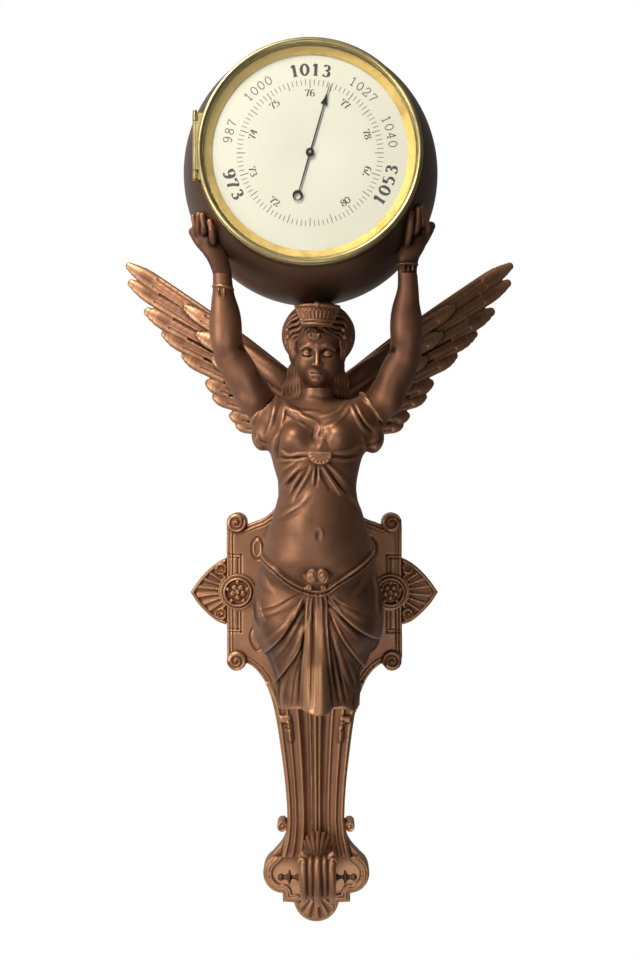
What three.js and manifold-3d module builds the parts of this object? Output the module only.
// Wall barometer: an aneroid movement in a globe case, held up by a winged figure on a console.
// Millimetres, +Z up. The wall is the plane y = 0 and the viewer stands on the -Y side.
// The origin lies on the wall, midway between the two wall screws behind the rosettes.
import * as THREE from 'three';
import { mergeVertices } from 'three/addons/utils/BufferGeometryUtils.js';
import Module from 'manifold-3d';

const wasm = await Module();
wasm.setup();

// Driving sizes, which the tables of shares are scaled by
const globeRadius = 91.7;
const figureHeight = 310; // hem to the top of the crown
const consoleWidth = 144; // across the plate, without the palmettes
const movementRadius = 42;
const seatGap = 0.3; // left between pieces that touch
const cutOverrun = 2; // how far a cutting solid runs past what it cuts

// Places of the three main groups, each slightly off the others as the old casting is
const caseAcross = -2;
const caseOut = 98;
const crownUpShare = 0.70613; // of the figure's height: where the globe's lowest point rests
const caseUp = crownUpShare * figureHeight + globeRadius;
const figureAcross = 2.7;
const footAcross = 1.8;

// How finely round things are faceted
const globeSides = 40;
const ringSides = 36;
const halfSides = 18;
const smallSides = 12;
const ballSides = 10;
const clawSides = 7;
const fineSides = 6;
const limbSides = 12;
const bodySides = 32;
const skirtSides = 48;
const arcSteps = 6;
const lobeSteps = 8;

const paints = {
  bronze: { color: 0x7a4e36, roughness: 0.42, metalness: 0.9 },
  bronzeDark: { color: 0x4a3226, roughness: 0.45, metalness: 0.9 },
  brass: { color: 0xb09a50, roughness: 0.3, metalness: 1 },
  steel: { color: 0x8d8f92, roughness: 0.35, metalness: 1 },
  blued: { color: 0x1d1f26, roughness: 0.35, metalness: 0.8 },
  card: { color: 0xeceada, roughness: 0.6, metalness: 0 },
  glass: { color: 0xf2f6f6, roughness: 0.05, metalness: 0 },
  silvered: { color: 0xc9c9c4, roughness: 0.3, metalness: 1 },
};

const barometer = new THREE.Group();

// A point from its place across, its distance out from the wall and its height.
function at(across, out, up) {
  return new THREE.Vector3(across, -out, up);
}

function solidOf(geometry) {
  const bare = new THREE.BufferGeometry();
  bare.setAttribute('position', geometry.getAttribute('position').clone());
  if (geometry.index) bare.setIndex(geometry.index.clone());
  const merged = mergeVertices(bare);
  const vertProperties = merged.attributes.position.array;
  const triVerts = new Uint32Array(merged.index.array);
  let solid = new wasm.Manifold(new wasm.Mesh({ numProp: 3, vertProperties, triVerts }));
  if (solid.volume() < 0) {
    for (let i = 0; i < triVerts.length; i += 3) {
      [triVerts[i + 1], triVerts[i + 2]] = [triVerts[i + 2], triVerts[i + 1]];
    }
    solid = new wasm.Manifold(new wasm.Mesh({ numProp: 3, vertProperties, triVerts }));
  }
  return solid;
}

function geometryOf(solid) {
  const mesh = solid.getMesh();
  const geometry = new THREE.BufferGeometry();
  const places = new Float32Array(mesh.numVert * 3);
  for (let i = 0; i < mesh.numVert; i += 1) {
    for (let j = 0; j < 3; j += 1) {
      places[i * 3 + j] = mesh.vertProperties[i * mesh.numProp + j];
    }
  }
  geometry.setAttribute('position', new THREE.BufferAttribute(places, 3));
  geometry.setIndex(new THREE.BufferAttribute(new Uint32Array(mesh.triVerts), 1));
  return geometry;
}

function place(name, solid, paint) {
  const faceted = geometryOf(solid).toNonIndexed();
  faceted.computeVertexNormals();
  const mesh = new THREE.Mesh(faceted, new THREE.MeshStandardMaterial(paints[paint]));
  mesh.name = name;
  barometer.add(mesh);
}

// A closed skin over rings of points, each ring holding as many points as the next.
function skinOver(rings) {
  const count = rings[0].length;
  const points = rings.flat();
  const faces = [];
  for (let i = 0; i + 1 < rings.length; i += 1) {
    for (let j = 0; j < count; j += 1) {
      const a = i * count + j;
      const b = i * count + ((j + 1) % count);
      faces.push(a, b, a + count, b, b + count, a + count);
    }
  }
  for (const [ring, turn] of [[0, true], [rings.length - 1, false]]) {
    const middle = new THREE.Vector3();
    rings[ring].forEach((point) => middle.add(point));
    points.push(middle.divideScalar(count));
    for (let j = 0; j < count; j += 1) {
      const a = ring * count + j;
      const b = ring * count + ((j + 1) % count);
      faces.push(points.length - 1, turn ? b : a, turn ? a : b);
    }
  }
  const geometry = new THREE.BufferGeometry().setFromPoints(points);
  geometry.setIndex(faces);
  return solidOf(geometry);
}

// A level ring of a body: an ellipse whose edge may swell and sink in folds.
function levelRing([up, across, out, halfWidth, halfDepth], sides, folds = 0, foldShare = 0) {
  const points = [];
  for (let i = 0; i < sides; i += 1) {
    const angle = (i / sides) * Math.PI * 2;
    const swell = 1 + foldShare * Math.cos(angle * folds);
    const side = across + Math.cos(angle) * halfWidth * swell;
    points.push(at(side, out + Math.sin(angle) * halfDepth * swell, up));
  }
  return points;
}

function bodyOf(rows, sides) {
  return skinOver(rows.map((row) => levelRing(row, sides)));
}

// A limb along a path of places, each with its two half widths: in the picture and towards us.
function limbOf(rows, sides) {
  const places = rows.map(([across, out, up]) => at(across, out, up));
  const towardsUs = new THREE.Vector3(0, -1, 0);
  const rings = rows.map((row, i) => {
    const before = places[Math.max(i - 1, 0)];
    const after = places[Math.min(i + 1, places.length - 1)];
    const along = after.clone().sub(before).normalize();
    const sideways = along.clone().cross(towardsUs).normalize();
    const forward = sideways.clone().cross(along).normalize();
    const ring = [];
    for (let j = 0; j < sides; j += 1) {
      const angle = (j / sides) * Math.PI * 2;
      const point = places[i].clone();
      point.addScaledVector(sideways, Math.cos(angle) * row[3]);
      point.addScaledVector(forward, Math.sin(angle) * row[4]);
      ring.push(point);
    }
    return ring;
  });
  return skinOver(rings);
}

// A ball squashed to three half widths: across, out and up.
function ballOf([across, out, up, halfWidth, halfDepth, halfHeight], sides = limbSides) {
  const geometry = new THREE.SphereGeometry(1, sides, sides / 2);
  geometry.scale(halfWidth, halfDepth, halfHeight);
  geometry.translate(across, -out, up);
  return solidOf(geometry);
}

// Turned work about a line that points out of the wall; the profile holds [radius, out] pairs.
function turnedOut(profile, across, up, sides) {
  const outline = profile.map(([radius, out]) => new THREE.Vector2(radius, out));
  outline.push(outline[0].clone());
  const geometry = new THREE.LatheGeometry(outline, sides);
  geometry.rotateX(Math.PI);
  geometry.translate(across, 0, up);
  return solidOf(geometry);
}

// A round bar along the way out of the wall.
function pinOut(across, up, radius, back, front, sides = smallSides) {
  const geometry = new THREE.CylinderGeometry(radius, radius, front - back, sides);
  geometry.translate(across, -(front + back) / 2, up);
  return solidOf(geometry);
}

// A round bar that stands upright.
function pinUp(across, out, radius, low, high, sides = smallSides) {
  const geometry = new THREE.CylinderGeometry(radius, radius, high - low, sides);
  geometry.rotateX(Math.PI / 2);
  geometry.translate(across, -out, (high + low) / 2);
  return solidOf(geometry);
}

// A round bar that lies across.
function pinAcross(out, up, radius, left, right, sides = smallSides) {
  const geometry = new THREE.CylinderGeometry(radius, radius, right - left, sides);
  geometry.rotateZ(Math.PI / 2);
  geometry.translate((left + right) / 2, -out, up);
  return solidOf(geometry);
}

function blockOf(left, right, back, front, low, high) {
  const geometry = new THREE.BoxGeometry(right - left, front - back, high - low);
  geometry.translate((left + right) / 2, -(front + back) / 2, (low + high) / 2);
  return solidOf(geometry);
}

// A slab cut to an outline of [across, up] points and standing out of the wall.
function slabOf(outline, back, front) {
  const shape = new THREE.Shape(outline.map(([across, up]) => new THREE.Vector2(across, up)));
  const geometry = new THREE.ExtrudeGeometry(shape, { depth: front - back, bevelEnabled: false });
  geometry.rotateX(Math.PI / 2);
  geometry.translate(0, -back, 0);
  return solidOf(geometry);
}

// A bar whose [out, up] outline is carried across.
function barAcross(outline, left, right) {
  const shape = new THREE.Shape(outline.map(([out, up]) => new THREE.Vector2(out, up)));
  const geometry = new THREE.ExtrudeGeometry(shape, { depth: right - left, bevelEnabled: false });
  geometry.rotateX(Math.PI / 2);
  geometry.rotateZ(-Math.PI / 2);
  geometry.translate(right, 0, 0);
  return solidOf(geometry);
}

function joined(solids) {
  return solids.reduce((whole, solid) => whole.add(solid));
}

function arcPoints(across, up, radius, from, to, steps) {
  const points = [];
  for (let i = 0; i <= steps; i += 1) {
    const angle = THREE.MathUtils.degToRad(from + ((to - from) * i) / steps);
    points.push([across + radius * Math.cos(angle), up + radius * Math.sin(angle)]);
  }
  return points;
}

function scaled(shares, size) {
  return shares.map((row) => row.map((share) => share * size));
}

function sizesOf(shares, size) {
  return Object.fromEntries(Object.entries(shares).map(([key, share]) => [key, share * size]));
}

// Cut by a plane through a point, keeping the side that the normal points to.
function keptBeyond(solid, point, normal, gap = 0) {
  const unit = normal.clone().normalize();
  return solid.trimByPlane([unit.x, unit.y, unit.z], unit.dot(point) + gap);
}

// The case: a spun globe with a round mouth, a ring in the mouth and a hinged bezel
const globeWall = 2;
const mouthAheadShare = 0.54744; // how far the mouth is ahead of the globe's centre
const mouthAhead = mouthAheadShare * globeRadius;
const windowRadius = 4; // the hole behind, for the adjusting screw
const globeSteps = 10;
const insideSteps = 8;
const mouthOut = caseOut + mouthAhead;

function globeArc(radius, back, front, steps) {
  const from = Math.asin(back / radius);
  const to = Math.acos(-front / radius);
  const points = [];
  for (let i = 0; i <= steps; i += 1) {
    const angle = from + ((to - from) * i) / steps;
    points.push([radius * Math.sin(angle), caseOut - radius * Math.cos(angle)]);
  }
  return points;
}

const studOutShare = 0.3355;
const studDepth = 19.9; // in the crown
const studRadius = 2.4;
const studLength = 28;
const studAcross = figureAcross;
const studOut = studOutShare * figureHeight;
const studLow = caseUp - globeRadius - studDepth;
const studHoleRadius = studRadius + seatGap;
const nutRadius = 4.6;
const nutThickness = 2.6;
const nutSeatLift = 1.3; // the nut rides on the flats of the spun wall
const nutReach = Math.hypot(studAcross - caseAcross, studOut - caseOut) + nutRadius;
const nutLow = caseUp - Math.sqrt((globeRadius - globeWall) ** 2 - nutReach ** 2) + nutSeatLift;

const globeSkin = globeArc(globeRadius, windowRadius, mouthAhead, globeSteps);
const globeInside = globeArc(globeRadius - globeWall, windowRadius, mouthAhead, insideSteps);
const caseShell = turnedOut([...globeSkin, ...globeInside.reverse()], caseAcross, caseUp, globeSides)
  .subtract(pinUp(studAcross, studOut, studHoleRadius, studLow, studLow + studLength));
place('case_shell', caseShell, 'bronzeDark');

// The mounting ring: a flange on the mouth, a spigot inside it and a seat for the backplate
const bezelRadiusShare = 0.82334; // of the globe's radius
const flangeInset = 0.1; // these are all measured in from the bezel's outside
const spigotInset = 1.7;
const boreInset = 7.5;
const seatInset = 3.9;
const rebateInset = 2.2;
const flangeThickness = 1.5;
const spigotDepth = 5.5;
const seatDepth = 1;
const bezelRadius = bezelRadiusShare * globeRadius;
const flangeRadius = bezelRadius - flangeInset;
const spigotRadius = bezelRadius - spigotInset;
const spigotBore = bezelRadius - boreInset;
const seatRadius = bezelRadius - seatInset;
const flangeBack = mouthOut + seatGap;
const flangeFront = flangeBack + flangeThickness;
const seatFloor = flangeFront - seatDepth;

// The bezel: a wall with a round bead in front and a rebate for the glass behind the bead
const bezelThickness = 8.7;
const beadRadius = 2;
const beadUnderside = 2.1;
const rebateRadius = bezelRadius - rebateInset;
const bezelBack = flangeFront + seatGap;
const bezelFront = bezelBack + bezelThickness;

// The bezel hinge: an upright pin on the viewer's left, three knuckles on it
const hingeStandOff = 2; // outside the bezel
const knuckleRadius = 1.7;
const knuckleBore = 1;
const pinRadius = 0.95;
const pinHeadRadius = 1.5;
const pinHeadHeight = 1.2;
const hingeLow = -17;
const lowKnuckleHeight = 5.7;
const midKnuckleHeight = 32.7;
const leafThickness = 1.5;
const leafReach = 8;
const hingeAcross = caseAcross - bezelRadius - hingeStandOff;
const hingeOut = flangeFront + seatGap / 2;
const hingeBottom = caseUp + hingeLow;
const midKnuckleLow = hingeBottom + lowKnuckleHeight + seatGap;
const topKnuckleLow = midKnuckleLow + midKnuckleHeight + seatGap;
const hingeTop = topKnuckleLow + lowKnuckleHeight;

function knuckle(low, high) {
  return pinUp(hingeAcross, hingeOut, knuckleRadius, low, high);
}

function hingeLeaf(low, high, back, front) {
  return blockOf(hingeAcross, hingeAcross + leafReach, back, front, low, high);
}

const hingeBore = pinUp(hingeAcross, hingeOut, knuckleBore, hingeBottom - cutOverrun, hingeTop + cutOverrun);
const ringProfile = [
  [spigotBore, flangeBack - spigotDepth],
  [spigotRadius, flangeBack - spigotDepth],
  [spigotRadius, flangeBack],
  [flangeRadius, flangeBack],
  [flangeRadius, flangeFront],
  [seatRadius, flangeFront],
  [seatRadius, seatFloor],
  [spigotBore, seatFloor],
];
const spigotHollow = [
  [0, flangeBack - spigotDepth - cutOverrun],
  [spigotBore, flangeBack - spigotDepth - cutOverrun],
  [spigotBore, seatFloor],
  [seatRadius, seatFloor],
  [seatRadius, flangeFront + cutOverrun],
  [0, flangeFront + cutOverrun],
];
const mountingRing = joined([
  turnedOut(ringProfile, caseAcross, caseUp, ringSides),
  hingeLeaf(hingeBottom, midKnuckleLow - seatGap, flangeBack, flangeFront),
  hingeLeaf(topKnuckleLow, hingeTop, flangeBack, flangeFront),
  knuckle(hingeBottom, midKnuckleLow - seatGap),
  knuckle(topKnuckleLow, hingeTop),
])
  .subtract(hingeBore)
  .subtract(turnedOut(spigotHollow, caseAcross, caseUp, ringSides));
place('mounting_ring', mountingRing, 'brass');

const bezelRebate = turnedOut([
  [0, bezelBack - cutOverrun],
  [rebateRadius, bezelBack - cutOverrun],
  [rebateRadius, bezelFront - beadUnderside],
  [0, bezelFront - beadUnderside],
], caseAcross, caseUp, ringSides);
const bezelProfile = [
  [rebateRadius - cutOverrun, bezelBack],
  [bezelRadius, bezelBack],
  ...arcPoints(bezelRadius - beadRadius, bezelFront - beadRadius, beadRadius, 0, 180, arcSteps),
  [bezelRadius - beadRadius * 2, bezelFront - beadUnderside - cutOverrun],
];
const bezel = joined([
  turnedOut(bezelProfile, caseAcross, caseUp, ringSides),
  hingeLeaf(midKnuckleLow, topKnuckleLow - seatGap, bezelBack, bezelBack + leafThickness),
  knuckle(midKnuckleLow, topKnuckleLow - seatGap),
])
  .subtract(bezelRebate)
  .subtract(hingeBore);
place('bezel', bezel, 'brass');

const hingePin = joined([
  pinUp(hingeAcross, hingeOut, pinRadius, hingeBottom - seatGap, hingeTop + seatGap),
  pinUp(hingeAcross, hingeOut, pinHeadRadius, hingeTop + seatGap, hingeTop + seatGap + pinHeadHeight),
  pinUp(hingeAcross, hingeOut, pinHeadRadius, hingeBottom - seatGap - pinHeadHeight, hingeBottom - seatGap),
]);
place('hinge_pin', hingePin, 'brass');

// The glass, the ring that holds it in the bezel, and the gilt sight ring that lies on the dial
const glassThickness = 1.7;
const retainerThickness = 1.2;
const retainerWidth = 1.4;
const glassRadius = rebateRadius - seatGap;
const glassFront = bezelFront - beadUnderside - seatGap;
const glassBack = glassFront - glassThickness;
const retainerFront = glassBack - seatGap;
place('glass', pinOut(caseAcross, caseUp, glassRadius, glassBack, glassFront, ringSides), 'glass');
place('glass_retaining_ring', turnedOut([
  [glassRadius - retainerWidth, retainerFront - retainerThickness],
  [glassRadius, retainerFront - retainerThickness],
  [glassRadius, retainerFront],
  [glassRadius - retainerWidth, retainerFront],
], caseAcross, caseUp, ringSides), 'brass');

const backplateThickness = 1.2;
const dialThickness = 0.8;
const dialRadius = seatRadius - seatGap;
const dialBore = 3;
const backplateBack = seatFloor + seatGap;
const backplateFront = backplateBack + backplateThickness;
const dialBack = backplateFront + seatGap;
const dialFront = dialBack + dialThickness;
for (const [name, back, front, paint] of [
  ['dial_backplate', backplateBack, backplateFront, 'steel'],
  ['dial', dialBack, dialFront, 'card'],
]) {
  place(name, turnedOut([
    [dialBore, back],
    [dialRadius, back],
    [dialRadius, front],
    [dialBore, front],
  ], caseAcross, caseUp, ringSides), paint);
}

const sightWidth = 5.8;
const sightHeight = 2.1;
const sightLand = 0.8;
const sightOpening = dialRadius - sightWidth;
const sightBack = dialFront + seatGap;
place('sight_ring', turnedOut([
  [sightOpening, sightBack],
  [dialRadius - seatGap, sightBack],
  [dialRadius - seatGap, sightBack + sightHeight],
  [dialRadius - seatGap - sightLand, sightBack + sightHeight],
], caseAcross, caseUp, ringSides), 'brass');

// The hand: a blued needle with an arrowhead, a ring on its tail and a domed hub over the arbor;
// its lengths are shares of the dial's radius
const needleRestTurn = 16; // clockwise from straight up
const needleLift = 0.9;
const needleThickness = 0.5;
const needleBore = 1.2;
const needleBoss = 2.6;
const needleReachShare = 0.676;
const arrowStartShare = 0.4909;
const arrowEndShare = 0.5722;
const tailRingShare = 0.4208;
const arrowHalfWidth = 2.3;
const shaftHalfWidth = 0.55;
const pointHalfWidth = 0.25;
const tailRingRadius = 3.5;
const tailRingBore = 1.9;
const tailRingShift = 0.9;
const hubRadius = 3;
const hubThickness = 0.8;
const arborRadius = 0.9;
const needleReach = needleReachShare * dialRadius;
const arrowStart = arrowStartShare * dialRadius;
const arrowEnd = arrowEndShare * dialRadius;
const tailRingCentre = tailRingShare * dialRadius;
const needleBack = dialFront + needleLift;
const needleFront = needleBack + needleThickness;
const hubBack = needleFront + seatGap;

function needleWay(along, aside) {
  const turn = THREE.MathUtils.degToRad(needleRestTurn);
  const across = caseAcross + along * Math.sin(turn) + aside * Math.cos(turn);
  return [across, caseUp + along * Math.cos(turn) - aside * Math.sin(turn)];
}

const needleOutline = [
  [-tailRingCentre, -shaftHalfWidth],
  [arrowStart, -shaftHalfWidth],
  [arrowStart, -arrowHalfWidth],
  [arrowEnd, -pointHalfWidth],
  [needleReach, 0],
  [arrowEnd, pointHalfWidth],
  [arrowStart, arrowHalfWidth],
  [arrowStart, shaftHalfWidth],
  [-tailRingCentre, shaftHalfWidth],
].map(([along, aside]) => needleWay(along, aside));
const needleTail = pinOut(...needleWay(-tailRingCentre, 0), tailRingRadius,
  needleBack, needleFront, halfSides);
const needleEye = pinOut(...needleWay(-tailRingCentre - tailRingShift, 0), tailRingBore,
  needleBack - cutOverrun, needleFront + cutOverrun, halfSides);
const needleHole = pinOut(caseAcross, caseUp, needleBore, needleBack - cutOverrun, needleFront + cutOverrun);
place('needle', joined([
  slabOf(needleOutline, needleBack, needleFront),
  needleTail,
  pinOut(caseAcross, caseUp, needleBoss, needleBack, needleFront, halfSides),
]).subtract(needleEye).subtract(needleHole), 'blued');
place('needle_hub', turnedOut([
  [needleBore, hubBack],
  [hubRadius, hubBack],
  [hubRadius, hubBack + hubThickness / 2],
  [hubRadius - hubThickness / 2, hubBack + hubThickness],
  [needleBore, hubBack + hubThickness],
], caseAcross, caseUp, halfSides), 'blued');

// The movement, from its base outwards; its pieces keep their places on the base's radius
const capsuleRadiusShare = 0.59524;
const springBendShare = 0.85714;
const shaftDropShare = 0.785714;
const baseThickness = 2.5;
const baseBore = 2.4;
const baseDepth = 30.2; // behind the globe's mouth
const baseFront = mouthOut - baseDepth;
const capsuleRadius = capsuleRadiusShare * movementRadius;
const capsuleHeight = 8;
const capsuleRipples = 4;
const rippleDepth = 0.8;
const capsuleBossRadius = 4;
const capsuleBossHeight = 1.6;
const capsuleBack = baseFront + seatGap;
const capsuleFront = capsuleBack + capsuleHeight;
place('movement_base', turnedOut([
  [baseBore, baseFront - baseThickness],
  [movementRadius, baseFront - baseThickness],
  [movementRadius, baseFront],
  [baseBore, baseFront],
], caseAcross, caseUp, ringSides), 'brass');

function rippledFace(level, direction) {
  const points = [];
  const steps = capsuleRipples * 2;
  for (let i = 0; i <= steps; i += 1) {
    const radius = capsuleBossRadius + ((capsuleRadius - rippleDepth - capsuleBossRadius) * i) / steps;
    points.push([radius, level + (i % 2 ? -direction * rippleDepth : 0)]);
  }
  return points;
}

place('vacuum_capsule', turnedOut([
  [0, capsuleBack],
  ...rippledFace(capsuleBack, -1),
  [capsuleRadius, capsuleBack + rippleDepth],
  [capsuleRadius, capsuleFront - rippleDepth],
  ...rippledFace(capsuleFront, 1).reverse(),
  [capsuleBossRadius, capsuleFront + capsuleBossHeight],
  [0, capsuleFront + capsuleBossHeight],
], caseAcross, caseUp, halfSides), 'silvered');

// The mainspring bends back over the bridge and pulls the capsule's post outwards
const bridgeLegOverhang = 4.5;
const postRadius = 2.2;
const postHeight = 1.6;
const leafSpringThickness = 1.5;
const springHalfWidth = 10;
const bridgeLegOffset = capsuleRadius + bridgeLegOverhang;
const bridgeLegWidth = 5;
const bridgeNear = 12;
const bridgeFar = 22;
const bridgeBeam = 2.8;
const bridgeOverSpring = 2.2;
const springBend = springBendShare * movementRadius;
const springTail = -4;
const springClamp = 12;
const postBack = capsuleFront + capsuleBossHeight + seatGap;
const springBack = postBack + postHeight + seatGap;
const beamBack = springBack + leafSpringThickness + bridgeOverSpring;
const beamFront = beamBack + bridgeBeam;
const upperLeafBack = beamFront + seatGap;
const upperLeafFront = upperLeafBack + leafSpringThickness;
place('capsule_post', pinOut(caseAcross, caseUp, postRadius, postBack, postBack + postHeight), 'steel');

const bridgeLow = caseUp + bridgeNear;
const bridgeHigh = caseUp + bridgeFar;
place('spring_bridge', joined([
  blockOf(caseAcross - bridgeLegOffset, caseAcross + bridgeLegOffset, beamBack, beamFront,
    bridgeLow, bridgeHigh),
  ...[-1, 1].map((side) => {
    const middle = caseAcross + side * (bridgeLegOffset - bridgeLegWidth / 2 + seatGap);
    const left = middle - bridgeLegWidth / 2;
    return blockOf(left, left + bridgeLegWidth, capsuleBack, beamFront, bridgeLow, bridgeHigh);
  }),
]), 'brass');

const bendMiddle = (springBack + upperLeafFront) / 2;
const bendRadius = (upperLeafFront - springBack) / 2;
const springOutline = [
  [springBack, caseUp + springTail],
  ...arcPoints(bendMiddle, caseUp + springBend, bendRadius, 180, 0, arcSteps),
  [upperLeafFront, caseUp + springClamp],
  [upperLeafBack, caseUp + springClamp],
  ...arcPoints(bendMiddle, caseUp + springBend, bendRadius - leafSpringThickness, 0, 180, arcSteps),
  [springBack + leafSpringThickness, caseUp + springTail],
];
const springLeft = caseAcross - springHalfWidth;
place('mainspring', barAcross(springOutline, springLeft, springLeft + springHalfWidth * 2), 'blued');

// The main lever carries the spring's stroke to the rocking shaft
const leverHalfWidth = 2;
const leverThickness = 1.4;
const leverTop = 8;
const leverOverShaft = 5;
const shaftDrop = shaftDropShare * movementRadius;
const leverBack = springBack + leafSpringThickness + seatGap;
place('main_lever', blockOf(caseAcross - leverHalfWidth, caseAcross + leverHalfWidth, leverBack,
  leverBack + leverThickness, caseUp - shaftDrop + leverOverShaft, caseUp + leverTop), 'steel');

const shaftUp = caseUp - shaftDrop;
const shaftHalfShare = 0.35714; // of the base's radius
const shaftDepth = 15.2;
const chainDepth = 7;
const cockDepth = 11.7;
const shaftOut = mouthOut - shaftDepth;
const shaftRadius = 1.2;
const shaftHalfLength = shaftHalfShare * movementRadius;
const armWidth = 1.6;
const crankReach = 3;
const drumRadius = 1.6;
const chainOut = mouthOut - chainDepth;
const chainHalf = 0.45;
const chainAcross = drumRadius + chainHalf + seatGap / 2;
const cockWidth = 3.5;
const cockHeight = 6;
const cockTop = mouthOut - cockDepth;
place('rocking_shaft', joined([
  pinAcross(shaftOut, shaftUp, shaftRadius, caseAcross - shaftHalfLength, caseAcross + shaftHalfLength),
  blockOf(caseAcross - armWidth / 2, caseAcross + armWidth / 2,
    shaftOut - armWidth / 2, shaftOut + armWidth / 2, shaftUp, shaftUp + crankReach),
  blockOf(caseAcross + chainAcross - armWidth / 2, caseAcross + chainAcross + armWidth / 2,
    shaftOut, chainOut + chainHalf * 2, shaftUp - shaftRadius, shaftUp + shaftRadius),
]), 'steel');
for (const [name, side] of [['left_cock', -1], ['right_cock', 1]]) {
  const near = caseAcross + side * (shaftHalfLength + seatGap);
  const far = near + side * cockWidth;
  place(name, blockOf(Math.min(near, far), Math.max(near, far), capsuleBack, cockTop,
    shaftUp - cockHeight / 2, shaftUp + cockHeight / 2), 'brass');
}

// The chain winds on the arbor's drum, and the hairspring takes up its slack
const drumDepth = 8.2;
const drumLength = 2.4;
const arborTail = 3.4;
const drumBack = mouthOut - drumDepth;
const drumFront = drumBack + drumLength;
const arborBack = drumBack - arborTail;
const arborOverHub = 0.2;
const chainLinks = 9;
const linkShare = 0.62;
const windingShare = 0.4; // of the drum's radius: where the straight run of chain ends
const chainLow = shaftUp + shaftRadius + seatGap;
const chainHigh = caseUp - drumRadius * windingShare;
const linkStep = (chainHigh - chainLow) / chainLinks;
const links = [pinUp(caseAcross + chainAcross, chainOut, chainHalf / 2, chainLow, chainHigh, fineSides)];
for (let i = 0; i < chainLinks; i += 1) {
  const low = chainLow + i * linkStep;
  links.push(blockOf(caseAcross + chainAcross - chainHalf, caseAcross + chainAcross + chainHalf,
    chainOut - chainHalf, chainOut + chainHalf, low, low + linkStep * linkShare));
}
place('chain', joined(links), 'steel');
place('arbor', turnedOut([
  [0, arborBack],
  [arborRadius, arborBack],
  [arborRadius, drumBack],
  [drumRadius, drumBack],
  [drumRadius, drumFront],
  [arborRadius, drumFront],
  [arborRadius, hubBack + hubThickness + arborOverHub],
  [0, hubBack + hubThickness + arborOverHub],
], caseAcross, caseUp, smallSides), 'brass');

// A flat spiral with one running radius; its strip is four sided
const hairspringTurns = 3;
const hairspringInner = 1.5;
const hairspringOuter = 8;
const hairspringHalf = 0.16;
const hairspringHeight = 0.5;
const hairspringSteps = 12;
const hairspringBack = drumFront + seatGap;
const spiralRings = [];
for (let i = 0; i <= hairspringTurns * hairspringSteps; i += 1) {
  const angle = (i / hairspringSteps) * Math.PI * 2;
  const share = i / (hairspringTurns * hairspringSteps);
  const radius = hairspringInner + (hairspringOuter - hairspringInner) * share;
  const ring = [];
  for (const [side, level] of [[-1, 0], [1, 0], [1, 1], [-1, 1]]) {
    const reach = radius + side * hairspringHalf;
    const out = hairspringBack + level * hairspringHeight;
    ring.push(at(caseAcross + reach * Math.cos(angle), out, caseUp + reach * Math.sin(angle)));
  }
  spiralRings.push(ring);
}
place('hairspring', skinOver(spiralRings), 'blued');

const cockPlate = 2;
const cockHalfLength = 14;
const cockHalfDepth = 4;
const cockWall = 2.5;
const cockFoot = 3;
const cockPlay = 0.15;
const cockBore = arborRadius + cockPlay;
const lowerArmFront = drumBack - seatGap * 2;
const lowerArmBack = lowerArmFront - cockPlate + seatGap;
const upperArmBack = hairspringBack + hairspringHeight + seatGap * 2;
const upperArmFront = upperArmBack + cockPlate;
const cockTopOut = backplateBack - seatGap;
place('arbor_cock', joined([
  blockOf(caseAcross - cockHalfLength, caseAcross + cockHalfLength, upperArmBack, upperArmFront,
    caseUp - cockHalfDepth, caseUp + cockHalfDepth),
  blockOf(caseAcross - cockHalfLength, caseAcross - cockHalfLength + cockWall, lowerArmBack, cockTopOut,
    caseUp - cockHalfDepth, caseUp + cockHalfDepth),
  blockOf(caseAcross + cockHalfLength - cockWall, caseAcross + cockHalfLength, upperArmBack, cockTopOut,
    caseUp - cockHalfDepth, caseUp + cockHalfDepth),
  blockOf(caseAcross - cockHalfLength, caseAcross + cockFoot, lowerArmBack, lowerArmFront,
    caseUp - cockHalfDepth, caseUp + cockHalfDepth),
]).subtract(pinOut(caseAcross, caseUp, cockBore,
  lowerArmBack - cutOverrun, cockTopOut + cutOverrun)), 'brass');

const pillarRadius = 2.6;
const pillarInset = 3.5;
const pillarCircle = movementRadius - pillarInset;
const pillarTurns = [0, 125, 235]; // degrees round the base
pillarTurns.forEach((turn, i) => {
  const angle = THREE.MathUtils.degToRad(turn);
  const across = caseAcross + pillarCircle * Math.cos(angle);
  place(`movement_pillar_${i + 1}`, pinOut(across, caseUp + pillarCircle * Math.sin(angle),
    pillarRadius, capsuleBack, backplateBack - seatGap), 'brass');
});

const screwHeadRadius = 4.4;
const screwHeadHeight = 3;
const screwShankRadius = 2.3;
const screwSlotHalf = 0.5;
const screwHeadFront = baseFront - baseThickness - seatGap;
place('adjusting_screw', joined([
  pinOut(caseAcross, caseUp, screwHeadRadius, screwHeadFront - screwHeadHeight, screwHeadFront, halfSides),
  pinOut(caseAcross, caseUp, screwShankRadius, screwHeadFront - screwHeadHeight / 2, baseFront),
]).subtract(blockOf(caseAcross - screwHeadRadius - cutOverrun, caseAcross + screwHeadRadius + cutOverrun,
  screwHeadFront - screwHeadHeight - cutOverrun, screwHeadFront - screwHeadHeight / 2,
  caseUp - screwSlotHalf, caseUp + screwSlotHalf)), 'brass');

// The stud that stands in the crown and holds the globe down with a nut inside it
place('case_stud', pinUp(studAcross, studOut, studRadius, studLow + seatGap, studLow + studLength), 'steel');
const nutBlank = pinUp(studAcross, studOut, nutRadius, nutLow, nutLow + nutThickness, fineSides);
place('case_nut', nutBlank.subtract(pinUp(studAcross, studOut, studHoleRadius,
  nutLow - cutOverrun, nutLow + nutThickness + cutOverrun)), 'brass');

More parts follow.
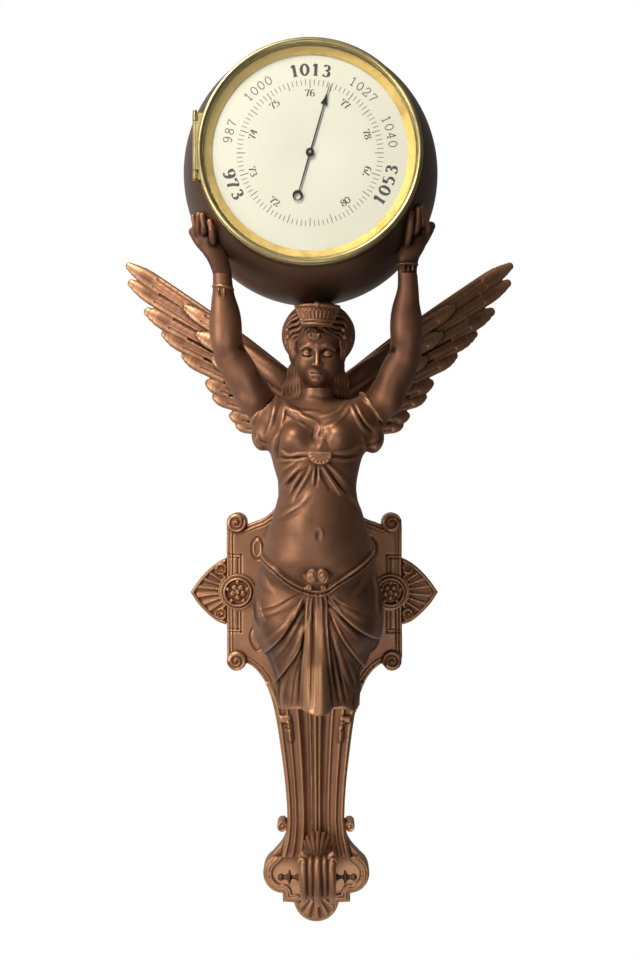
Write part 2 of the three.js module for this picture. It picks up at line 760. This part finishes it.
// The figure: every row is [up, across, out, half width, half depth] in shares of its height
const torsoShares = [
  [0.066, 0, 0.2452, 0.1387, 0.1097],
  [0.1161, -0.0016, 0.271, 0.1323, 0.1048],
  [0.1613, -0.0026, 0.2903, 0.121, 0.1],
  [0.2129, -0.0032, 0.3048, 0.1065, 0.0919],
  [0.2774, -0.0032, 0.3129, 0.0968, 0.0806],
  [0.3258, -0.0019, 0.3113, 0.1032, 0.0839],
  [0.3581, -0.0006, 0.3097, 0.1129, 0.0903],
  [0.3774, 0, 0.3065, 0.1387, 0.0887],
  [0.4065, 0.0006, 0.3, 0.15, 0.0887],
  [0.4387, 0.0006, 0.2968, 0.1468, 0.0806],
  [0.4645, 0, 0.2952, 0.129, 0.0677],
  [0.4823, 0, 0.2968, 0.0935, 0.0548],
  [0.4935, 0, 0.3048, 0.0581, 0.0452],
  [0.5097, -0.0006, 0.3161, 0.04, 0.0413],
];
const breastShares = [
  [-0.0581, 0.3645, 0.3871, 0.0371, 0.0387, 0.0387],
  [0.0452, 0.3645, 0.3871, 0.0371, 0.0387, 0.0387],
];
const skirtShares = [
  [-0.2871, 0.0026, 0.1468, 0.1016, 0.1032],
  [-0.2581, 0.0019, 0.1484, 0.1032, 0.1048],
  [-0.2258, 0.0013, 0.1484, 0.1097, 0.1065],
  [-0.1935, 0.0006, 0.1516, 0.1081, 0.1097],
  [-0.1613, 0, 0.1548, 0.1226, 0.1129],
  [-0.1355, 0, 0.1613, 0.1339, 0.1194],
  [-0.1032, 0, 0.171, 0.1516, 0.1274],
  [-0.071, 0, 0.1774, 0.1629, 0.1323],
  [-0.0258, 0, 0.1839, 0.1677, 0.1339],
  [0.0129, 0, 0.2, 0.1613, 0.1323],
  [0.0452, 0, 0.2226, 0.1516, 0.1242],
  [0.07, 0, 0.2419, 0.1419, 0.1145],
];
const swagEdgeShare = -0.14; // where the upper layer of the skirt ends
const skirtFolds = 12;
const upperFoldShare = 0.012;
const hemFoldShare = 0.05;
const headShares = [
  [0.5, -0.0006, 0.3177, 0.04, 0.0406],
  [0.5226, -0.0006, 0.321, 0.0394, 0.0419],
  [0.5323, -0.0006, 0.3355, 0.0419, 0.0597],
  [0.5452, -0.001, 0.3468, 0.0468, 0.0661],
  [0.5677, -0.001, 0.3435, 0.0581, 0.071],
  [0.5935, -0.0013, 0.3403, 0.0661, 0.0758],
  [0.6226, -0.0013, 0.3387, 0.0694, 0.079],
  [0.6484, -0.001, 0.3371, 0.0694, 0.0774],
  [0.6645, -0.0006, 0.3371, 0.0661, 0.0726],
  [0.671, -0.0006, 0.3371, 0.071, 0.0726],
  [0.6968, 0, 0.3387, 0.0758, 0.071],
  [0.7129, 0, 0.3387, 0.0758, 0.0677],
];
const hairShares = [
  [-0.0581, 0.3226, 0.6129, 0.029, 0.0548, 0.0516],
  [0.0581, 0.3226, 0.6161, 0.029, 0.0548, 0.0516],
  [0, 0.2903, 0.629, 0.0742, 0.0645, 0.0581],
  [-0.0387, 0.271, 0.5548, 0.0355, 0.029, 0.0548],
  [0.0419, 0.271, 0.5548, 0.0355, 0.029, 0.0548],
  [0, 0.2645, 0.5355, 0.0484, 0.0258, 0.0645],
];
const noseShares = [
  [-0.0013, 0.4097, 0.6016, 0.0084, 0.0103, 0.0194],
  [-0.0013, 0.4065, 0.5339, 0.0177, 0.0129, 0.0129],
  [-0.0013, 0.4065, 0.5565, 0.0161, 0.011, 0.0065],
];
const torsoSections = scaled(torsoShares, figureHeight);
const skirtSections = scaled(skirtShares, figureHeight);
const headSections = scaled(headShares, figureHeight);
const swagEdge = swagEdgeShare * figureHeight;

function onFigure([up, across, out, halfWidth, halfDepth]) {
  return [up, figureAcross + across, out, halfWidth, halfDepth];
}

function ballsOf(shares) {
  const rows = scaled(shares, figureHeight);
  return rows.map(([across, ...rest]) => ballOf([figureAcross + across, ...rest], ballSides));
}

// The castings meet on planes: the belt, the neck, the shoulders and the wrists
const beltUpShare = 0.0725;
const beltUp = beltUpShare * figureHeight;
const neckUpShare = 0.5065;
const neckUp = neckUpShare * figureHeight;
const plateThickness = 16;
const shoulderSlope = 0.8;
const shoulderShares = { offset: 0.13226, up: 0.46452, out: 0.29677 };
const shoulder = sizesOf(shoulderShares, figureHeight);

function shoulderPlane(side) {
  return [
    at(figureAcross + side * shoulder.offset, shoulder.out, shoulder.up),
    new THREE.Vector3(side * shoulderSlope, 0, Math.sqrt(1 - shoulderSlope * shoulderSlope)),
  ];
}

// The bracket behind the shoulders carries the torso and both wings on the console's spine
const bracketShares = {
  halfWidth: 0.06129,
  low: 0.37419,
  high: 0.47742,
  pocketOut: 0.23548,
  boltUp: 0.42581,
  boltEnd: 0.16774,
  skirtBoltUp: -0.14194,
  skirtBoltEnd: 0.14194,
};
const bracket = sizesOf(bracketShares, figureHeight);
const boltRadius = 2.6;
const boltHead = 5;
const boltHeadDepth = 3;
const bracketBack = plateThickness + seatGap;

function boltHole(across, up, front) {
  return joined([
    pinOut(across, up, boltRadius + seatGap, -cutOverrun, front + seatGap),
    pinOut(across, up, boltHead + seatGap, -cutOverrun, boltHeadDepth + 2 * seatGap),
  ]);
}

function backBolt(across, up, front) {
  return joined([
    pinOut(across, up, boltRadius, seatGap, front),
    pinOut(across, up, boltHead, seatGap, seatGap + boltHeadDepth, fineSides),
  ]);
}

const bracketLeft = figureAcross - bracket.halfWidth;
const bracketRight = figureAcross + bracket.halfWidth;
const pocket = blockOf(bracketLeft - seatGap, bracketRight + seatGap,
  0, bracket.pocketOut, bracket.low - seatGap, bracket.high + seatGap);
let torso = joined([bodyOf(torsoSections.map(onFigure), bodySides), ...ballsOf(breastShares)]);
for (const side of [-1, 1]) {
  const [point, normal] = shoulderPlane(side);
  torso = keptBeyond(torso, point, normal.clone().negate());
}
torso = keptBeyond(torso, at(0, 0, neckUp - seatGap), new THREE.Vector3(0, 0, -1));
torso = keptBeyond(torso, at(0, 0, beltUp), new THREE.Vector3(0, 0, 1));
place('figure_torso', torso.subtract(pocket), 'bronze');

const bracketHole = boltHole(figureAcross, bracket.boltUp, bracket.boltEnd);
place('back_bracket', blockOf(bracketLeft, bracketRight, bracketBack, bracket.pocketOut - seatGap,
  bracket.low, bracket.high).subtract(bracketHole), 'bronzeDark');
place('bracket_bolt', backBolt(figureAcross, bracket.boltUp, bracket.boltEnd), 'steel');

const skirtRings = skirtSections.map((row) => {
  const depth = Math.max(0, (swagEdge - row[0]) / (swagEdge - skirtSections[0][0]));
  const fold = upperFoldShare + (hemFoldShare - upperFoldShare) * depth;
  return levelRing(onFigure(row), skirtSides, skirtFolds, fold);
});
const skirtHole = boltHole(figureAcross, bracket.skirtBoltUp, bracket.skirtBoltEnd);
let skirt = keptBeyond(skinOver(skirtRings), at(0, bracketBack, 0), new THREE.Vector3(0, -1, 0));
skirt = keptBeyond(skirt, at(0, 0, beltUp - seatGap), new THREE.Vector3(0, 0, -1));
place('figure_skirt', skirt.subtract(skirtHole), 'bronze');
place('skirt_bolt', backBolt(figureAcross, bracket.skirtBoltUp, bracket.skirtBoltEnd), 'steel');

// The globe again, a gap larger all round, cuts the seats in the crown and the palms
const seatArc = globeArc(globeRadius + seatGap, windowRadius, mouthAhead, globeSteps);
const globeSeat = turnedOut([[0, seatArc[0][1]], ...seatArc, [0, mouthOut]], caseAcross, caseUp, globeSides);
const head = joined([
  bodyOf(headSections.map(onFigure), bodySides),
  ...ballsOf(hairShares),
  ...ballsOf(noseShares),
]);
place('figure_head', keptBeyond(head, at(0, 0, neckUp), new THREE.Vector3(0, 0, 1))
  .subtract(globeSeat)
  .subtract(pinUp(studAcross, studOut, studHoleRadius, studLow, studLow + studLength)), 'bronze');

// Arms: rows are [across, out, up, half width, half depth] in shares of the figure's height
const leftArmShares = [
  [-0.0935, 0.2903, 0.4258, 0.0468, 0.0452],
  [-0.1223, 0.2935, 0.4548, 0.0468, 0.0435],
  [-0.1494, 0.3129, 0.4932, 0.0435, 0.0419],
  [-0.18, 0.3355, 0.5403, 0.0397, 0.0403],
  [-0.2013, 0.3548, 0.5884, 0.0368, 0.0394],
  [-0.2087, 0.371, 0.6316, 0.0355, 0.0368],
  [-0.2116, 0.3871, 0.6835, 0.0306, 0.0323],
  [-0.2126, 0.4016, 0.7242, 0.0239, 0.0258],
  [-0.2119, 0.4113, 0.7548, 0.0216, 0.0226],
];
const rightArmShares = [
  [0.1097, 0.2903, 0.4258, 0.0468, 0.0452],
  [0.1384, 0.2935, 0.4597, 0.0468, 0.0435],
  [0.1606, 0.3129, 0.491, 0.0435, 0.0419],
  [0.1871, 0.3355, 0.5397, 0.0397, 0.0403],
  [0.2016, 0.3548, 0.5839, 0.0368, 0.0394],
  [0.2035, 0.371, 0.6361, 0.0355, 0.0368],
  [0.2032, 0.3871, 0.6881, 0.0306, 0.0323],
  [0.2068, 0.4016, 0.7265, 0.0245, 0.0258],
  [0.209, 0.4145, 0.7742, 0.0223, 0.0226],
];
const wristSeamShare = 0.755;
const wristSeam = wristSeamShare * figureHeight;
for (const [name, side, shares] of [['left', -1, leftArmShares], ['right', 1, rightArmShares]]) {
  const rows = scaled(shares, figureHeight);
  const [point, normal] = shoulderPlane(side);
  const seam = at(0, 0, wristSeam - seatGap);
  const arm = keptBeyond(limbOf(rows, limbSides), point, normal, seatGap);
  place(`${name}_arm`, keptBeyond(arm, seam, new THREE.Vector3(0, 0, -1)), 'bronze');
}

// Hands: places on the globe are shares of its radius, and each digit lifts off it a little
const digitRadius = 3.3;
const digitSizeShares = [1.15, 1, 0.85];
const digitLiftShares = [1, 1.25, 1];
const digitTipShare = 0.18;
const palmLift = 4;
const palmReach = globeRadius + seatGap * 3;
const digitSides = 8;
const leftPalmShares = [
  [-0.2126, 0.4016, 0.729, 0.0232, 0.0252],
  [-0.2116, 0.4145, 0.7613, 0.0213, 0.0219],
  [-0.2145, 0.4226, 0.7903, 0.0274, 0.021],
  [-0.2226, 0.4242, 0.8161, 0.0355, 0.0194],
  [-0.2339, 0.421, 0.8371, 0.0371, 0.0161],
];
const rightPalmShares = [
  [0.2068, 0.4016, 0.729, 0.0239, 0.0252],
  [0.2103, 0.4161, 0.7742, 0.0219, 0.0226],
  [0.2161, 0.4226, 0.8, 0.0274, 0.021],
  [0.229, 0.4242, 0.8258, 0.0355, 0.0194],
  [0.2435, 0.4177, 0.8484, 0.0371, 0.0161],
];
const leftDigitShares = [
  [[-0.7, -0.62], [-0.7, -0.54], [-0.7, -0.47]],
  [[-0.75, -0.6], [-0.765, -0.5], [-0.76, -0.4]],
  [[-0.8, -0.57], [-0.83, -0.48], [-0.825, -0.39]],
  [[-0.85, -0.55], [-0.89, -0.48], [-0.87, -0.42]],
  [[-0.67, -0.7], [-0.63, -0.65], [-0.62, -0.585]],
];
const rightDigitShares = [
  [[0.74, -0.58], [0.74, -0.47], [0.735, -0.39]],
  [[0.79, -0.56], [0.8, -0.44], [0.79, -0.34]],
  [[0.84, -0.53], [0.865, -0.42], [0.85, -0.34]],
  [[0.88, -0.5], [0.93, -0.42], [0.915, -0.35]],
  [[0.7, -0.68], [0.66, -0.6], [0.65, -0.53]],
];

function onGlobe(acrossShare, upShare, lift) {
  const reach = Math.hypot(acrossShare, upShare);
  const outShare = Math.sqrt(Math.max(0, 1 - reach * reach));
  const spread = Math.hypot(acrossShare, upShare, outShare);
  const radius = (globeRadius + lift) / spread;
  return [caseAcross + acrossShare * radius, caseOut + outShare * radius, caseUp + upShare * radius];
}

// A palm's row, moved off the globe where it would lie inside it.
function heldOff([across, out, up, halfWidth, halfDepth]) {
  const way = [across - caseAcross, out - caseOut, up - caseUp];
  const push = Math.max(palmReach / Math.hypot(...way), 1);
  return [
    caseAcross + way[0] * push,
    caseOut + way[1] * push,
    caseUp + way[2] * push,
    halfWidth,
    halfDepth,
  ];
}

function digitOf(places, knucklePlace) {
  const rows = [[...knucklePlace, digitRadius, digitRadius]];
  places.forEach(([across, up], i) => {
    const size = digitRadius * digitSizeShares[i];
    rows.push([...onGlobe(across, up, palmLift * digitLiftShares[i]), size, size]);
  });
  const [before, last] = rows.slice(-2);
  const tip = last.map((value, i) => value + (value - before[i]) * digitTipShare);
  rows.push([...tip.slice(0, 3), digitRadius / 2, digitRadius / 2]);
  return limbOf(rows, digitSides);
}

for (const [name, palmShares, digitShares] of [
  ['left', leftPalmShares, leftDigitShares],
  ['right', rightPalmShares, rightDigitShares],
]) {
  const palmRows = scaled(palmShares, figureHeight).map(heldOff);
  const knucklePlace = palmRows.at(-2).slice(0, 3);
  const digits = digitShares.map((places) => digitOf(places, knucklePlace));
  const hand = joined([limbOf(palmRows, limbSides), ...digits]).subtract(globeSeat);
  place(`${name}_hand`, keptBeyond(hand, at(0, 0, wristSeam), new THREE.Vector3(0, 0, 1)), 'bronze');
}

// Wings: feathers are [root aside, root up, tip aside, tip up, half width], shares of the height
const wingAcross = 4.3;
const wingRootOut = 47;
const wingTipOut = 27;
const wingSpanShare = 0.5; // where a feather's tip has come back to the tips' distance out
const featherThickness = 1.9;
const featherSides = 6;
const featherShares = [
  [0.0484, 0.5355, 0.5032, 0.8548, 0.021],
  [0.0484, 0.5161, 0.4968, 0.8097, 0.0242],
  [0.0484, 0.5, 0.4548, 0.7323, 0.0258],
  [0.0484, 0.4806, 0.4097, 0.6742, 0.0258],
  [0.0484, 0.4613, 0.3581, 0.6177, 0.0258],
  [0.0484, 0.4484, 0.2968, 0.5468, 0.0258],
  [0.0484, 0.4323, 0.279, 0.5097, 0.0226],
  [0.0484, 0.4161, 0.2355, 0.4597, 0.021],
  [0.0484, 0.4032, 0.2194, 0.4355, 0.0194],
];
const covertShares = [
  [0.0484, 0.529, 0.3613, 0.7387, 0.0226],
  [0.0484, 0.5032, 0.3226, 0.671, 0.0242],
  [0.0484, 0.4806, 0.2839, 0.6129, 0.0242],
  [0.0484, 0.4581, 0.2452, 0.5516, 0.0242],
  [0.0484, 0.4387, 0.2, 0.5, 0.0226],
  [0.0484, 0.4194, 0.1677, 0.4581, 0.021],
];
const featherBlendShares = [0.75, 1, 1, 0.97, 0.75, 0.2];

function featherOf([rootAside, rootUp, tipAside, tipUp, halfWidth], side, lift) {
  const rows = [];
  featherBlendShares.forEach((blend, i) => {
    const share = i / (featherBlendShares.length - 1);
    const aside = rootAside + (tipAside - rootAside) * share;
    const bend = (aside - rootAside) / (figureHeight * wingSpanShare);
    const out = wingRootOut + (wingTipOut - wingRootOut) * bend + lift;
    const up = rootUp + (tipUp - rootUp) * share;
    rows.push([wingAcross + side * aside, out, up, halfWidth * blend, featherThickness * blend]);
  });
  return limbOf(rows, featherSides);
}

for (const [name, side] of [['left', -1], ['right', 1]]) {
  const wing = joined([
    ...scaled(featherShares, figureHeight).map((row) => featherOf(row, side, 0)),
    ...scaled(covertShares, figureHeight).map((row) => featherOf(row, side, featherThickness)),
  ]);
  const root = at(figureAcross + side * bracket.halfWidth, 0, 0);
  place(`${name}_wing`, keptBeyond(wing, root, new THREE.Vector3(side, 0, 0), seatGap), 'bronze');
}

// The console: a cast plate with four volutes, a shaft below it and a lobed foot
const spineShares = [
  [0.1319, 1.375],
  [0.1319, 0.8333],
  [0.2014, 0.7083],
  [0.2049, 0.5278],
  [0.2708, 0.4271],
  [0.3306, 0.3903],
];
const voluteShares = { across: 0.441, up: 0.392, radius: 0.056 };
const earScrollShares = { across: 0.191, up: -1.3333, radius: 0.0292 };
const plateEdgeShares = [
  [0.3958, 0.375],
  [0.4583, 0.4236],
  [0.4986, 0.375],
  [0.4986, -0.375],
  [0.4583, -0.4236],
  [0.3958, -0.3889],
];
const shaftShares = [
  [0.3333, -0.441],
  [0.2847, -0.5139],
  [0.25, -0.5903],
  [0.2264, -0.6944],
  [0.2111, -0.7847],
  [0.1931, -0.9167],
  [0.1757, -1.0556],
  [0.166, -1.1806],
  [0.1618, -1.2917],
  [0.1771, -1.4097],
  [0.2049, -1.4583],
  [0.2431, -1.5],
];
const footLobeShares = { across: 0.1875, up: -1.601, radius: 0.115 };
const footBlockShares = [
  [0.1917, -1.7153],
  [0.1917, -1.7639],
  [0.1319, -1.7681],
];
const footEndShares = { up: -1.748, radius: 0.1285 };

function consoleCentre(up) {
  const low = footEndShares.up * consoleWidth;
  return footAcross * THREE.MathUtils.clamp(up / low, 0, 1);
}

const lobe = sizesOf(footLobeShares, consoleWidth);
const footEnd = sizesOf(footEndShares, consoleWidth);
const halfConsole = [
  ...scaled(spineShares, consoleWidth),
  ...scaled(plateEdgeShares, consoleWidth),
  ...scaled(shaftShares, consoleWidth),
  ...arcPoints(lobe.across, lobe.up, lobe.radius, 58, -88, lobeSteps),
  ...scaled(footBlockShares, consoleWidth),
  ...arcPoints(0, footEnd.up, footEnd.radius, -8, -90, lobeSteps),
];
const consoleOutline = [
  ...halfConsole.map(([aside, up]) => [consoleCentre(up) + aside, up]),
  ...halfConsole.slice(0, -1).reverse().map(([aside, up]) => [consoleCentre(up) - aside, up]),
];
const shaftRise = 3;
const shaftBeadRadius = 2.6;
const shaftBeadEndShare = -1.3889;
const hemClearance = 9; // the mouldings begin this far below the skirt
const hemUp = skirtSections[0][0];
const volute = sizesOf(voluteShares, consoleWidth);
const earScroll = sizesOf(earScrollShares, consoleWidth);
const voluteRise = 4;
const screwAcrossShare = 0.43056;
const screwAcross = screwAcrossShare * consoleWidth;
const wallScrewRadius = 2.2;
const wallScrewHeadRadius = 4.2;
const wallScrewHeadDepth = 3;

const consoleSolids = [slabOf(consoleOutline, 0, plateThickness)];
for (const side of [-1, 1]) {
  for (const end of [-1, 1]) {
    consoleSolids.push(pinOut(side * volute.across, end * volute.up, volute.radius, 0,
      plateThickness + voluteRise, halfSides));
  }
  consoleSolids.push(pinOut(consoleCentre(earScroll.up) + side * earScroll.across, earScroll.up,
    earScroll.radius, 0, plateThickness, halfSides));
}
const shaftEndRows = 3; // where the shaft spreads into the foot
const edgeRows = scaled(shaftShares, consoleWidth)
  .slice(0, -shaftEndRows)
  .filter(([, up]) => up < hemUp - hemClearance);
const edgeMouldingHalf = 2.2;
const edgeInset = 3.3;
const innerMouldingHalf = 2.86;
const innerMouldingShare = 0.42; // of the way from the middle to the edge
for (const side of [-1, 1]) {
  consoleSolids.push(limbOf(edgeRows.map(([aside, up]) => [
    consoleCentre(up) + side * (aside - edgeInset),
    plateThickness,
    up,
    edgeMouldingHalf,
    shaftRise,
  ]), fineSides));
  consoleSolids.push(limbOf(edgeRows.map(([aside, up]) => [
    consoleCentre(up) + side * aside * innerMouldingShare,
    plateThickness - shaftRise / 2,
    up,
    innerMouldingHalf,
    shaftRise,
  ]), fineSides));
}
consoleSolids.push(pinUp(footAcross / 2, plateThickness, shaftBeadRadius,
  shaftBeadEndShare * consoleWidth, hemUp - hemClearance, ballSides));
let consolePlate = joined(consoleSolids).subtract(bracketHole).subtract(skirtHole);
for (const side of [-1, 1]) {
  consolePlate = consolePlate
    .subtract(pinOut(side * screwAcross, 0, wallScrewRadius + seatGap,
      -cutOverrun, plateThickness + cutOverrun))
    .subtract(pinOut(side * screwAcross, 0, wallScrewHeadRadius + seatGap,
      plateThickness - wallScrewHeadDepth - seatGap, plateThickness + cutOverrun));
}

// Palmettes beside the plate, rosettes over the wall screws
const palmetteReachShare = 0.70486;
const palmetteReach = palmetteReachShare * consoleWidth;
const palmetteHalfHeightShare = 0.19097;
const palmetteHalfHeight = palmetteHalfHeightShare * consoleWidth;
const palmetteThickness = 12;
const palmetteBack = 3;
const palmetteBulge = 0.2;
const fluteCount = 9;
const fluteHalf = 1.5;
const fluteEnd = 4.5; // short of the palmette's point
const fluteShortening = 0.3; // of the half height, for the steepest flute
const fluteSpread = 0.72; // of a half turn
const rosetteRadius = 14.4;
const rosetteRimWidth = 3.4;
const rosetteRise = 5.5;
const rosetteFloor = 1.4;
const rosetteBoss = 3.3;
const rosetteBossRise = 3.85;
const rosetteShoulder = 3.3;
const rosettePetal = 2.3;
const rosettePetalCircle = 6.8;
const rosettePetals = 5;
const plateEdge = plateEdgeShares[3][0] * consoleWidth;

function palmetteOutline(side) {
  const near = plateEdge + seatGap;
  const points = [[near, palmetteHalfHeight]];
  const steps = arcSteps;
  for (let i = 1; i <= steps; i += 1) {
    const share = i / steps;
    const bulge = Math.sin(share * Math.PI) * palmetteBulge * (palmetteReach - near);
    points.push([near + (palmetteReach - near) * share + bulge, palmetteHalfHeight * (1 - share)]);
  }
  const lower = points.slice(0, -1).reverse().map(([across, up]) => [across, -up]);
  return [...points, ...lower].map(([across, up]) => [side * across, up]);
}

for (const [name, side] of [['left', -1], ['right', 1]]) {
  let palmette = slabOf(palmetteOutline(side), palmetteBack, palmetteBack + palmetteThickness);
  for (let i = 0; i < fluteCount; i += 1) {
    const angle = ((i + 0.5) / fluteCount - 0.5) * Math.PI * fluteSpread;
    const start = rosetteRadius + fluteHalf;
    const shortening = palmetteHalfHeight * fluteShortening * Math.abs(Math.sin(angle));
    const end = palmetteReach - screwAcross - fluteEnd - shortening;
    const level = palmetteBack + palmetteThickness + fluteHalf / 2;
    const rows = [start, end].map((reach) => [
      side * (screwAcross + reach * Math.cos(angle)), level, reach * Math.sin(angle), fluteHalf, fluteHalf,
    ]);
    palmette = palmette.subtract(limbOf(rows, fineSides));
  }
  place(`${name}_palmette`, palmette, 'bronze');

  const rosetteBack = plateThickness + seatGap;
  const rim = turnedOut([
    [0, rosetteBack],
    [rosetteRadius, rosetteBack],
    [rosetteRadius, rosetteBack + rosetteShoulder],
    [rosetteRadius - rosetteRimWidth / 2, rosetteBack + rosetteRise],
    [rosetteRadius - rosetteRimWidth, rosetteBack + rosetteShoulder],
    [rosetteRadius - rosetteRimWidth, rosetteBack + rosetteFloor],
    [0, rosetteBack + rosetteFloor],
  ], side * screwAcross, 0, halfSides + fineSides);
  const petals = [];
  for (let i = 0; i < rosettePetals; i += 1) {
    const angle = Math.PI / 2 + (i / rosettePetals) * Math.PI * 2;
    const across = side * screwAcross + rosettePetalCircle * Math.cos(angle);
    petals.push(ballOf([across, rosetteBack + rosetteFloor, rosettePetalCircle * Math.sin(angle),
      rosettePetal, rosettePetal, rosettePetal], fineSides));
  }
  const floor = rosetteBack + rosetteFloor;
  const boss = ballOf([side * screwAcross, floor, 0, rosetteBoss, rosetteBossRise, rosetteBoss], fineSides);
  const rosette = joined([rim, boss, ...petals]);
  const wallSide = at(0, rosetteBack, 0);
  place(`${name}_rosette`, keptBeyond(rosette, wallSide, new THREE.Vector3(0, -1, 0)), 'bronzeDark');

  place(`${name}_wall_screw`, joined([
    pinOut(side * screwAcross, 0, wallScrewRadius, seatGap, plateThickness - seatGap),
    pinOut(side * screwAcross, 0, wallScrewHeadRadius,
      plateThickness - wallScrewHeadDepth, plateThickness - seatGap),
  ]), 'steel');
}

// The claw scroll on the foot: a fan above, two volutes and five hanging gadroons
const clawAcross = 2.6;
const gadroons = 5;
const gadroonHalf = 2.6;
const fanThickness = 9;
const clawShares = {
  top: -1.3611,
  bottom: -1.625,
  out: 0.3472,
  halfWidth: 0.1007,
  core: 0.2083,
  boltUp: -1.5139,
  boltEnd: 0.2083,
  voluteRadius: 0.0319,
  voluteInset: 0.0256,
  fanRadius: 0.0903,
  fanUp: -1.3889,
  finialUp: -1.5319,
  finialOut: 0.1743,
};
const claw = sizesOf(clawShares, consoleWidth);
const clawBack = plateThickness + shaftBeadRadius + seatGap;
const clawRowShares = [
  [0.2778, -1.4271, 1],
  [0.3542, -1.4201, 1],
  [0.3958, -1.4722, 1.05],
  [0.3993, -1.5417, 1],
  [0.3681, -1.6111, 0.85],
  [0.3125, -1.6562, 0.5],
];
const clawSolids = [
  blockOf(clawAcross - claw.halfWidth, clawAcross + claw.halfWidth, clawBack, clawBack + claw.core,
    claw.bottom, claw.top),
];
for (let i = 0; i < gadroons; i += 1) {
  const share = (i / (gadroons - 1)) * 2 - 1;
  const across = clawAcross + share * (claw.halfWidth - gadroonHalf);
  const drop = Math.abs(share) * gadroonHalf;
  clawSolids.push(limbOf(clawRowShares.map(([out, up, size]) => [
    across,
    out * consoleWidth - drop / 2,
    up * consoleWidth + drop / 2,
    gadroonHalf * size,
    gadroonHalf * size,
  ]), clawSides));
}
for (const side of [-1, 1]) {
  clawSolids.push(pinOut(clawAcross + side * (claw.halfWidth - claw.voluteInset), claw.top,
    claw.voluteRadius, clawBack + fanThickness / 2, claw.out + claw.voluteRadius, halfSides));
}
clawSolids.push(pinOut(clawAcross, claw.fanUp, claw.fanRadius,
  clawBack, clawBack + fanThickness, halfSides));
const clawHole = boltHole(clawAcross, claw.boltUp, claw.boltEnd);
place('console_plate', consolePlate.subtract(clawHole), 'bronze');
place('claw_scroll', joined(clawSolids).subtract(clawHole), 'bronze');
place('claw_bolt', backBolt(clawAcross, claw.boltUp, claw.boltEnd), 'steel');

// Turned finials stand out to both sides of the claw
const finialLength = 16.5;
const finialRadius = 5.2;
const finialShares = [
  [0, 0],
  [0.5, 0],
  [0.5, 0.12],
  [0.3, 0.2],
  [0.3, 0.34],
  [1, 0.42],
  [0.85, 0.5],
  [0.38, 0.62],
  [0.34, 0.72],
  [0.55, 0.8],
  [0.52, 0.92],
  [0.25, 1],
  [0, 1],
];
for (const [name, side] of [['left', -1], ['right', 1]]) {
  const profile = finialShares.map(([radius, along]) => (
    new THREE.Vector2(radius * finialRadius, along * finialLength)
  ));
  const geometry = new THREE.LatheGeometry(profile, smallSides);
  geometry.rotateZ(-side * Math.PI / 2);
  const shoulderAcross = clawAcross + side * (claw.halfWidth + seatGap);
  geometry.translate(shoulderAcross, -(clawBack + claw.finialOut), claw.finialUp);
  place(`${name}_finial`, solidOf(geometry), 'bronze');
}

export default barometer;
